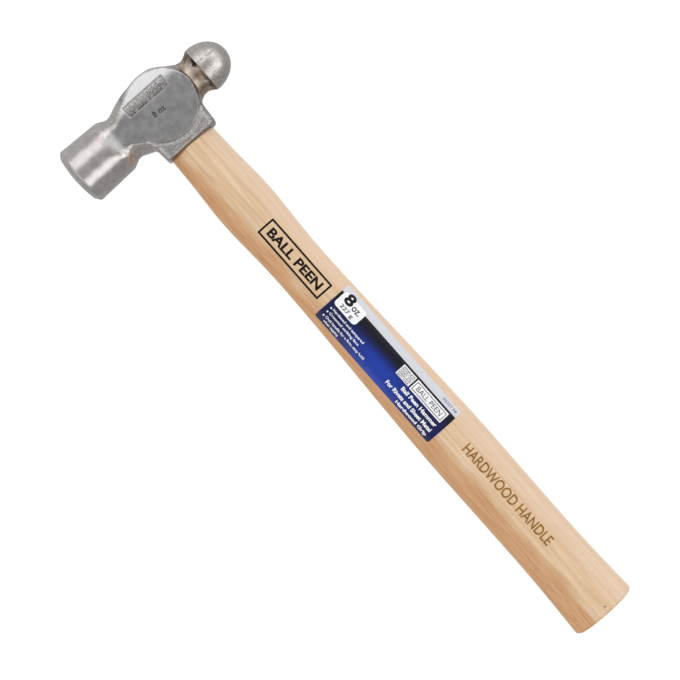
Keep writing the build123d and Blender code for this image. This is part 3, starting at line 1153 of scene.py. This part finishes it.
def hammer_head_piece():
    """The forging with its stamped marks, and a finish for each way its faces were made."""
    low_x, high_x, low_y, high_y = CARTOUCHE
    margin_x, margin_y = LETTER_MARGINS
    letters = (low_x + margin_x, high_x - margin_x, low_y + margin_y, high_y - margin_y)
    mesh = cut(forging_mesh(), stamp_solid("BALL PEEN", letters, -1.5, 0.0), "UNION")
    mesh = cut(mesh, stamp_solid("8 oz", WEIGHT_STAMP, -WEIGHT_DEPTH, 1.0))
    middles = np.empty(len(mesh.polygons) * 3, np.float32)
    mesh.polygons.foreach_get("center", middles)
    mesh.materials.clear()
    for finish in (turned_steel, ground_steel, forged_steel, slack_belt_steel, oxide_in_stamps):
        mesh.materials.append(finish())
    slots = finish_slots(from_frame(middles.reshape(-1, 3)))
    mesh.polygons.foreach_set("material_index", slots)
    shade_smooth(mesh, 50)
    crisp_inside(mesh, (CARTOUCHE, WEIGHT_STAMP), 22)
    piece = new_piece("forged_head", mesh, None, "head_steel")
    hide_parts("hammer_head")


def handle_piece():
    """The hickory handle."""
    mesh = handle_mesh()
    shade_smooth(mesh, 40)
    piece = new_piece("hickory_handle", mesh, lacquered_hickory(), "hickory")
    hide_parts("handle")


def label_piece():
    """The label's film."""
    mesh = label_mesh()
    shade_smooth(mesh, 50)
    piece = new_piece("label_film", mesh, printed_film(), "label_film")
    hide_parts("label")


def printed(name, shapes, lift, material, node_slot):
    """One ink's shapes, laid on what they are printed on."""
    new_piece(name, ink_mesh(name, shapes, lift), material, node_slot)


def wood_printing():
    """Two marks printed on the wood: a framed pair of words and a line of brown capitals."""
    framed = [box_line(FRAME_BOX, 0.85, 0.4), words_in("BALL PEEN", (68.2, 99.2, -1.8, 2.4), 0.034)]
    black = ink("black_marking_ink", "0a0604", "1c120c", WOOD_GRAIN)
    printed("framed_words_ink", framed, WOOD_INK_LIFT, black, "hickory")
    line = [words_in("HARDWOOD HANDLE", (186.4, 238.5, -0.4, 4.2), 0.016)]
    brown = ink("brown_branding_ink", "865a2a", "a8743a", WOOD_GRAIN)
    printed("wood_words_ink", line, WOOD_INK_LIFT, brown, "hickory")


def label_printing():
    """What is printed on the label, in white, pale grey and near black."""
    tag = filled_box((107.2, 119.9, 0.2, 7.6), 1.5)
    plate = filled_box((153.6, 172.3, 0.3, 5.5), 0.15)
    notice = filled_box((145.2, 152.8, 0.4, 5.5), 0.1)
    bullets = [filled_box((108.0, 108.7, y, y + 0.7), 0.1) for y in (-2.2, -4.2, -6.3)]
    words = (
        ("Hardened and tempered", (109.4, 127.8, -2.4, -1.0), 0.02),
        ("Crowned striking face", (109.4, 127.0, -4.4, -3.0), 0.02),
        ("Oval handle for a firm, easy hold", (109.4, 132.6, -6.5, -5.1), 0.02),
        ("when tapping", (110.0, 118.6, -8.1, -6.9), 0.02),
        ("Ball Peen Hammer", (151.6, 172.4, -2.6, -0.8), 0.034),
        ("For Rivets and Sheet Metal", (145.4, 172.4, -5.5, -3.7), 0.034),
        ("Hardwood Grip", (154.0, 172.4, -8.1, -6.4), 0.034),
    )
    white_shapes = [tag, plate, notice, *bullets, *(words_in(*line) for line in words)]
    white = ink("white_label_ink", "f2f2f8", "ffffff", FILM_GRAIN)
    printed("label_white_ink", white_shapes, LABEL_INK_LIFT, white, "label_film")
    number = [words_in("00227 08", (165.8, 173.9, 7.6, 8.7), 0.01)]
    grey = ink("grey_label_ink", "5f616b", "777983", FILM_GRAIN)
    printed("label_grey_ink", number, LABEL_INK_LIFT, grey, "label_film")
    black_shapes = [
        words_in("8", (109.0, 113.4, 3.6, 8.6), 0.04),
        words_in("oz.", (114.0, 118.2, 3.7, 5.8), 0.015),
        words_in("227 g", (109.9, 117.0, 0.7, 2.9), 0.015),
        box_line((154.2, 171.7, 0.9, 4.9), 0.3, 0.3),
        words_in("BALL PEEN", (155.8, 170.2, 1.9, 4.0)),
    ]
    warning = ("WEAR EYE", "PROTECTION", "WHEN YOU", "STRIKE WITH", "ANY TOOL")
    for text, y in zip(warning, (4.4, 3.45, 2.5, 1.55, 0.6)):
        black_shapes.append(words_in(text, (145.6, 152.4, y, y + 0.75), 0.02))
    black = ink("black_label_ink", "101018", "1c1c26", FILM_GRAIN)
    over_white = LABEL_INK_LIFT + INK_THICKNESS
    printed("label_black_ink", black_shapes, over_white, black, "label_film")


def wedge_finishes():
    """The two wedges show only their sanded ends; their CAD solids are their real shape."""
    finishes = (("wooden_wedge", bare_wedge_wood()), ("steel_wedge", sanded_wedge_steel()))
    for node, material in finishes:
        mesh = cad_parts[node].data
        if not mesh.materials:
            mesh.materials.append(material)
        for place in range(len(mesh.materials)):
            mesh.materials[place] = material


# ======== stage, lights, camera ========

CAMERA_TURN = math.radians(48.604)
CAMERA_AT = (120.43, -7.75, 859.0)
CAMERA_LENS = 111.0

FLOOR_GLOW = 0.8
FLOOR_HALF = 6.0
FLOOR_DROP = -0.0004

# name, millimetre place, what it faces, metres along its length and across it, radiance
SOFTBOXES = (
    ("softbox_head", (-650.0, 510.0, 747.0), (0.0, 510.0, 0.0), (1.6, 0.76), 0.84),
    ("softbox_butt", (640.0, 510.0, 700.0), (0.0, 510.0, 0.0), (1.6, 0.5), 1.25),
    ("softbox_ball", (120.0, 1000.0, 560.0), (120.0, 0.0, 0.0), (1.9, 0.75), 0.74),
    ("softbox_face", (120.0, -1000.0, 560.0), (120.0, 0.0, 0.0), (1.9, 0.6), 0.9),
)


def floor_sheet():
    """A plain pale floor just under the hammer, left out of the steel's reflections."""
    mesh = bpy.data.meshes.new("floor")
    corners = [
        (side_x * FLOOR_HALF, side_y * FLOOR_HALF, FLOOR_DROP)
        for side_x, side_y in ((-1, -1), (1, -1), (1, 1), (-1, 1))
    ]
    mesh.from_pydata(corners, [], [(0, 1, 2, 3)])
    floor = new_piece("floor", mesh, pale_floor())
    floor.visible_glossy = False


def softbox(name, place, towards, size, radiance):
    """A flat rectangular lamp at a millimetre place, level along its length."""
    lamp = bpy.data.lights.new(name, "AREA")
    lamp.shape = "RECTANGLE"
    lamp.size, lamp.size_y = size
    lamp.energy = radiance * math.pi * size[0] * size[1]
    holder = bpy.data.objects.new(name, lamp)
    bpy.context.scene.collection.objects.link(holder)
    at = to_frame(place)
    aim = to_frame(towards) - at
    aim /= np.linalg.norm(aim)
    across = np.cross(aim, (0.0, 0.0, 1.0))
    across /= np.linalg.norm(across)
    up = np.cross(across, aim)
    rows = [(across[i], up[i], -aim[i], at[i]) for i in range(3)]
    holder.matrix_world = Matrix(rows + [(0, 0, 0, 1)])


def even_fill():
    """A white surround, a little dimmer overhead and brighter on the head's side."""
    world = bpy.data.worlds.new("fill")
    world.use_nodes = True
    add = partial(add_node, world.node_tree)
    split = add("SeparateXYZ", {0: add("TexCoord").outputs["Generated"]})
    upward = add("Math", {0: split.outputs["Z"], 1: -0.02, 2: 0.51}, operation="MULTIPLY_ADD")
    level = add("Math", {0: split.outputs["X"], 1: -0.12, 2: upward}, operation="MULTIPLY_ADD")
    plug(world.node_tree.nodes["Background"], {"Strength": level, "Color": (1.0, 1.0, 1.0, 1.0)})
    bpy.context.scene.world = world


def studio():
    """Two long softboxes across the head, two along the handle, and an even fill."""
    for box in SOFTBOXES:
        softbox(*box)
    even_fill()
    bpy.context.scene.view_settings.view_transform = "Standard"


def camera():
    """Looks straight down on the cheeks, turned so that the head is at the upper left."""
    lens = bpy.data.cameras.new("camera")
    lens.lens = CAMERA_LENS
    lens.sensor_width = 36.0
    lens.clip_end = 20.0
    holder = bpy.data.objects.new("camera", lens)
    bpy.context.scene.collection.objects.link(holder)
    holder.location = to_frame(CAMERA_AT)
    holder.rotation_euler = (0, 0, CAMERA_TURN)
    bpy.context.scene.camera = holder


hammer_head_piece()
handle_piece()
label_piece()
wood_printing()
label_printing()
wedge_finishes()
floor_sheet()
studio()
camera()
